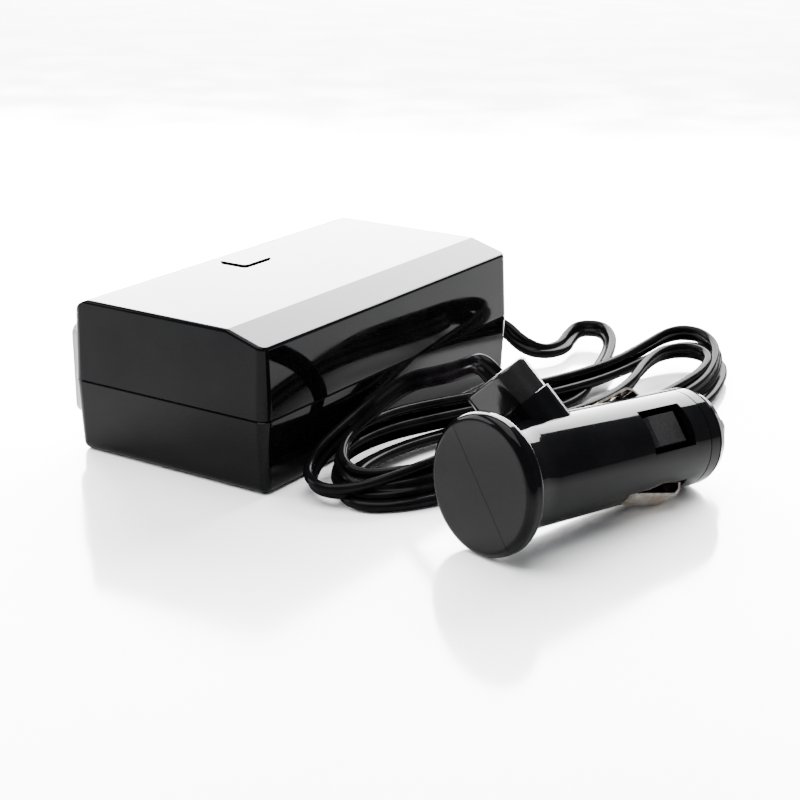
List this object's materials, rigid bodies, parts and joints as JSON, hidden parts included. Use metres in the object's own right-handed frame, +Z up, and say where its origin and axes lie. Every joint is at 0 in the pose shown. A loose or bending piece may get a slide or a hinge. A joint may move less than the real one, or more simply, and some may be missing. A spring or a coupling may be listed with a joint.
{
  "type": "power inverter",
  "caption": "Pocket power inverter: glossy two-part case with an outlet, USB ports and a top button, and a flat twin lead coiled beside it that ends in a fused 12 V accessory plug.",
  "frame": {"origin": "under the middle of the case and its outlet plate, on the surface that it stands on", "axes": "+X along the case towards the end that the lead leaves, +Y towards the outlet and the USB ports, +Z up"},
  "size_m": [0.1434, 0.1341, 0.0354],
  "materials": {
    "gloss_black": "polished",
    "clear_grey": "polished",
    "soft_black": "satin",
    "lead_jacket": "semi-gloss",
    "dark_plastic": "matte",
    "zinc_steel": "satin",
    "bright_steel": "bright",
    "nickel": "bright",
    "brass": "satin",
    "fuse_glass": "clear",
    "light_lens": "clear",
    "circuit_board": "solder mask",
    "ferrite": "matte",
    "winding_tape": "tape",
    "copper_wire": "enamelled",
    "can_sleeve": "shrink sleeve",
    "bare_aluminium": "mill",
    "fuse_body": "clear orange"
  },
  "bodies": {
    "case": {"board_fuse": "fuse_body", "board_screws": "zinc_steel", "button_board": "circuit_board", "case_cord": "lead_jacket", "case_screws": "zinc_steel", "choke_core": "ferrite", "choke_winding": "copper_wire", "control_chips": "dark_plastic", "cord_hank": "lead_jacket", "fuse_holder": "brass", "ground_contact": "brass", "hanger_screws": "zinc_steel", "input_capacitors": "can_sleeve", "input_heatsink": "bare_aluminium", "input_transistors": "dark_plastic", "lead_bushing": "soft_black", "lead_wires": "lead_jacket", "line_contact": "brass", "lower_shell": "gloss_black", "main_board": "circuit_board", "neutral_contact": "brass", "outlet_insert": "clear_grey", "output_capacitor": "can_sleeve", "output_heatsink": "bare_aluminium", "output_transistors": "dark_plastic", "plug_collar": "soft_black", "plug_cord": "lead_jacket", "plug_core": "dark_plastic", "plug_half_far": "gloss_black", "plug_half_near": "gloss_black", "plug_screws": "zinc_steel", "spring_seat": "brass", "status_light": "light_lens", "switch_body": "dark_plastic", "tip_spring": "bright_steel", "transformer_bobbin": "dark_plastic", "transformer_core": "ferrite", "transformer_seat": "dark_plastic", "transformer_winding": "winding_tape", "upper_shell": "gloss_black", "usb_shell_1": "bright_steel", "usb_shell_2": "bright_steel", "usb_tongue_1": "dark_plastic", "usb_tongue_2": "dark_plastic"},
    "power_button": {"power_button": "gloss_black", "switch_plunger": "dark_plastic"},
    "tip": {"tip_pin": "nickel", "plug_fuse": "fuse_glass"},
    "nose_cap": {"nose_cap": "gloss_black"},
    "contact_leaf_upper": {"contact_leaf_upper": "bright_steel"},
    "contact_leaf_lower": {"contact_leaf_lower": "bright_steel"}
  },
  "joints": [
    {"name": "button_press", "type": "slide", "parent": "case", "child": "power_button", "axis": [0, 0, 1], "range_m": [-0.0005, 0], "stiffness_N_per_m": 900},
    {"name": "tip_push", "type": "slide", "parent": "case", "child": "tip", "axis": [0.9624, -0.2633, -0.067], "range_m": [-0.0025, 0], "stiffness_N_per_m": 900, "springref_m": 0.002, "deforming": ["tip_spring"]},
    {"name": "cap_unscrew", "type": "hinge", "parent": "case", "child": "nose_cap", "pos_m": [-0.049, -0.08, 0.01434], "axis": [0.9624, -0.2633, -0.067], "continuous": true},
    {"name": "upper_leaf_press", "type": "hinge", "parent": "case", "child": "contact_leaf_upper", "pos_m": [-0.01731, -0.08361, 0.01806], "axis": [0.1606, 0.7503, -0.6413], "range_deg": [0, 7], "stiffness_Nm_per_rad": 0.5},
    {"name": "lower_leaf_press", "type": "hinge", "parent": "case", "child": "contact_leaf_lower", "pos_m": [-0.02064, -0.09282, 0.00644], "axis": [0.1606, 0.7503, -0.6413], "range_deg": [-7, 0], "stiffness_Nm_per_rad": 0.5}
  ]
}
